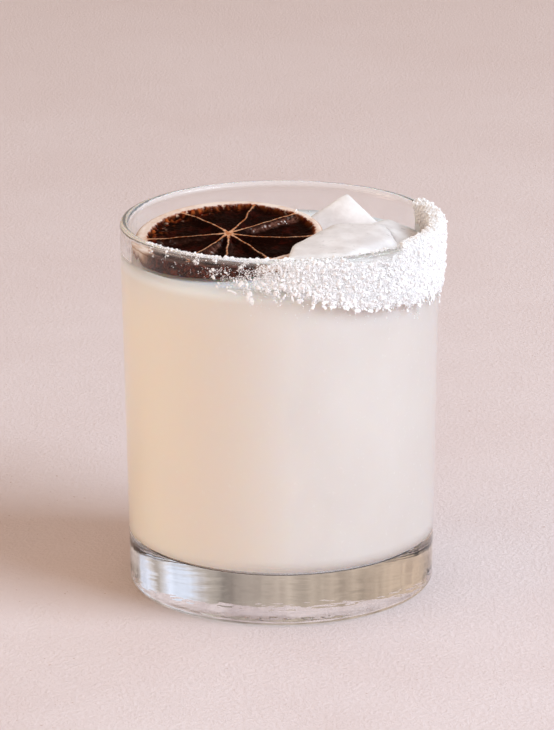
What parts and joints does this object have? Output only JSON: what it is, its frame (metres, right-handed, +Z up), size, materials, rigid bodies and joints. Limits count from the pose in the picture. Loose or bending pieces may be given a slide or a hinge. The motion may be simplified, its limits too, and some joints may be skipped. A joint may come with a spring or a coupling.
{
  "type": "margarita cocktail",
  "caption": "Cloudy cocktail on ice in a straight-sided tumbler with a thick foot, salt crust on half the rim and a dried blood orange wheel lying on top.",
  "frame": {"origin": "centre of the glass's foot, on the surface that it stands on", "axes": "+Z up along the glass's axis, -Y towards the viewer of the picture, +X to the salted side"},
  "size_m": [0.0854, 0.0851, 0.0998],
  "materials": {
    "clear_glass": "clear polished drinking glass",
    "cloudy_drink": "opaque cloudy pale peach liquid, wet surface",
    "ice": "cloudy melting ice",
    "dried_orange": "dried blood orange, nearly black pulp with tan membranes and a pale rind",
    "salt": "white coarse salt crystals"
  },
  "bodies": {
    "root": {"glass": "clear_glass", "drink": "cloudy_drink", "ice_back": "ice", "ice_front": "ice", "ice_right": "ice", "orange_wheel": "dried_orange", "salt_rim": "salt"}
  },
  "joints": []
}
